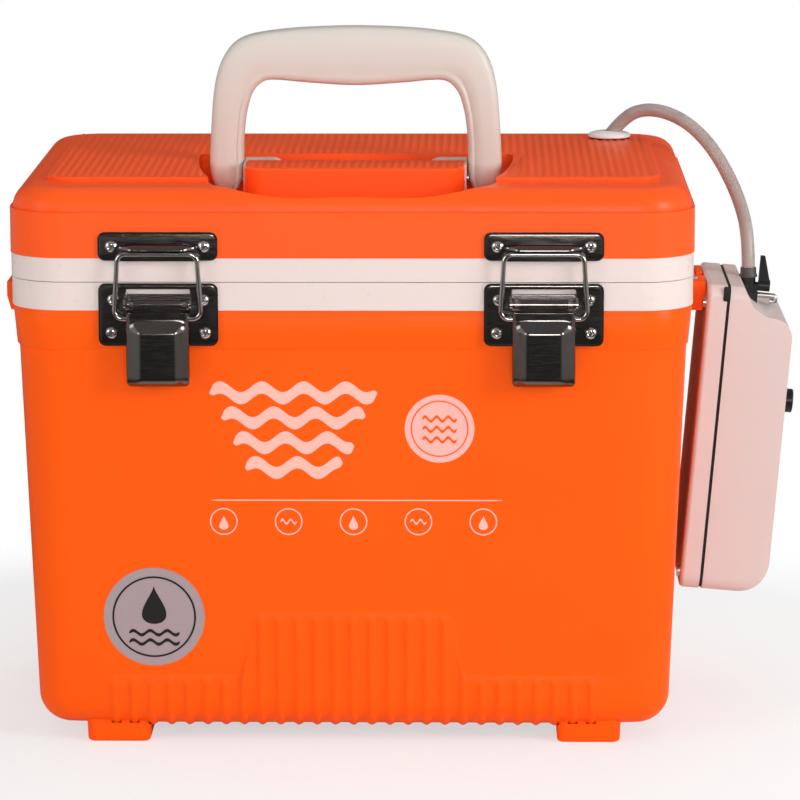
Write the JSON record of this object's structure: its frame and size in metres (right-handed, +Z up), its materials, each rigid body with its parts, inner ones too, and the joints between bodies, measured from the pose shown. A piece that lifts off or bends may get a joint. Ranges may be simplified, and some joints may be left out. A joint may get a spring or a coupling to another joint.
{
  "type": "live bait cooler box",
  "caption": "Hard-sided insulated bait cooler box with hinged lid, draw latches, folding handle and a side-hung battery air pump feeding an air stone by hose.",
  "frame": {"origin": "centre of the footprint on the floor, between the four feet", "axes": "+X to the right along the long side, towards the pump; the latches face -Y; +Z up"},
  "size_m": [0.3513, 0.2258, 0.3076],
  "materials": {
    "shell_orange": "satin moulded polypropylene, signal orange",
    "liner_white": "smooth white plastic",
    "foam": "closed-cell foam, matte",
    "handle_cream": "satin cream plastic",
    "stainless": "polished stainless steel, dark reflections",
    "zinc_steel": "plated steel",
    "rubber_black": "soft black rubber",
    "pump_white": "satin white plastic",
    "black_plastic": "satin black plastic",
    "hose_clear": "milky translucent silicone",
    "stone_blue": "sintered mineral",
    "cell_metal": "wrapped dry cell, bare sleeve",
    "grommet_white": "satin white plastic"
  },
  "bodies": {
    "tub": {"body_shell": "shell_orange", "body_liner": "liner_white", "body_insulation": "foam", "feet": "shell_orange", "strap_lug_left": "shell_orange", "strap_lug_right": "shell_orange", "latch_left_base": "stainless", "latch_right_base": "stainless", "latch_left_pin": "stainless", "latch_right_pin": "stainless", "latch_base_screws": "stainless", "hinge_left_body_leaf": "stainless", "hinge_right_body_leaf": "stainless", "hinge_pins": "stainless", "hinge_body_screws": "stainless", "pump_back_shell": "pump_white", "pump_front_shell": "pump_white", "pump_gasket": "rubber_black", "pump_case_screws": "zinc_steel", "pump_batteries": "cell_metal", "battery_contacts": "zinc_steel", "pump_chassis": "black_plastic", "pump_air_head": "black_plastic", "pump_motor": "zinc_steel", "pump_switch_body": "black_plastic", "pump_outlet": "black_plastic", "pump_inner_tube": "hose_clear", "pump_hook_ring": "zinc_steel", "pump_hanger_clip": "pump_white"},
    "lid": {"lid_shell": "shell_orange", "lid_liner": "liner_white", "lid_gasket": "rubber_black", "lid_insulation": "foam", "handle_block": "shell_orange", "block_screws": "zinc_steel", "handle_bracket_left": "handle_cream", "handle_bracket_right": "handle_cream", "handle_pins": "zinc_steel", "strike_left": "stainless", "strike_right": "stainless", "strike_screws": "stainless", "hinge_left_lid_leaf": "stainless", "hinge_right_lid_leaf": "stainless", "hinge_lid_screws": "stainless", "grommet_seal": "rubber_black", "hose_grommet": "grommet_white", "drop_tube": "hose_clear", "air_stone": "stone_blue", "air_hose": "hose_clear"},
    "handle": {"handle": "handle_cream"},
    "latch_left_lever": {"latch_left_lever": "stainless"},
    "latch_right_lever": {"latch_right_lever": "stainless"},
    "latch_left_bail": {"latch_left_bail": "stainless"},
    "latch_right_bail": {"latch_right_bail": "stainless"},
    "pump_button": {"pump_button": "black_plastic"},
    "pump_valve_lever": {"pump_valve_lever": "black_plastic"}
  },
  "joints": [
    {"name": "lid_hinge", "type": "hinge", "parent": "tub", "child": "lid", "pos_m": [0, 0.1073, 0.2064], "axis": [-1, 0, 0], "range_deg": [0, 95]},
    {"name": "handle_fold", "type": "hinge", "parent": "lid", "child": "handle", "pos_m": [0, -0.016, 0.24], "axis": [1, 0, 0], "range_deg": [0, 90]},
    {"name": "latch_left_throw", "type": "hinge", "parent": "tub", "child": "latch_left_lever", "pos_m": [-0.0823, -0.1079, 0.1977], "axis": [-1, 0, 0], "range_deg": [0, 110]},
    {"name": "latch_left_bail_swing", "type": "hinge", "parent": "latch_left_lever", "child": "latch_left_bail", "pos_m": [-0.0823, -0.10815, 0.1915], "axis": [1, 0, 0], "range_deg": [0, 132]},
    {"name": "latch_right_throw", "type": "hinge", "parent": "tub", "child": "latch_right_lever", "pos_m": [0.0823, -0.1079, 0.1977], "axis": [-1, 0, 0], "range_deg": [0, 110]},
    {"name": "latch_right_bail_swing", "type": "hinge", "parent": "latch_right_lever", "child": "latch_right_bail", "pos_m": [0.0823, -0.10815, 0.1915], "axis": [1, 0, 0], "range_deg": [0, 132]},
    {"name": "pump_button_press", "type": "slide", "parent": "tub", "child": "pump_button", "axis": [-0.9964, 0, 0.0847], "range_m": [0, 0.002], "stiffness_N_per_m": 400},
    {"name": "pump_valve_turn", "type": "hinge", "parent": "tub", "child": "pump_valve_lever", "pos_m": [0.18041, 0, 0.18913], "axis": [0.9964, 0, -0.0847], "range_deg": [0, 90]}
  ],
  "couplings": [
    {"joint": "latch_left_bail_swing", "follows": "latch_left_throw", "ratio": 1.2},
    {"joint": "latch_right_bail_swing", "follows": "latch_right_throw", "ratio": 1.2}
  ]
}
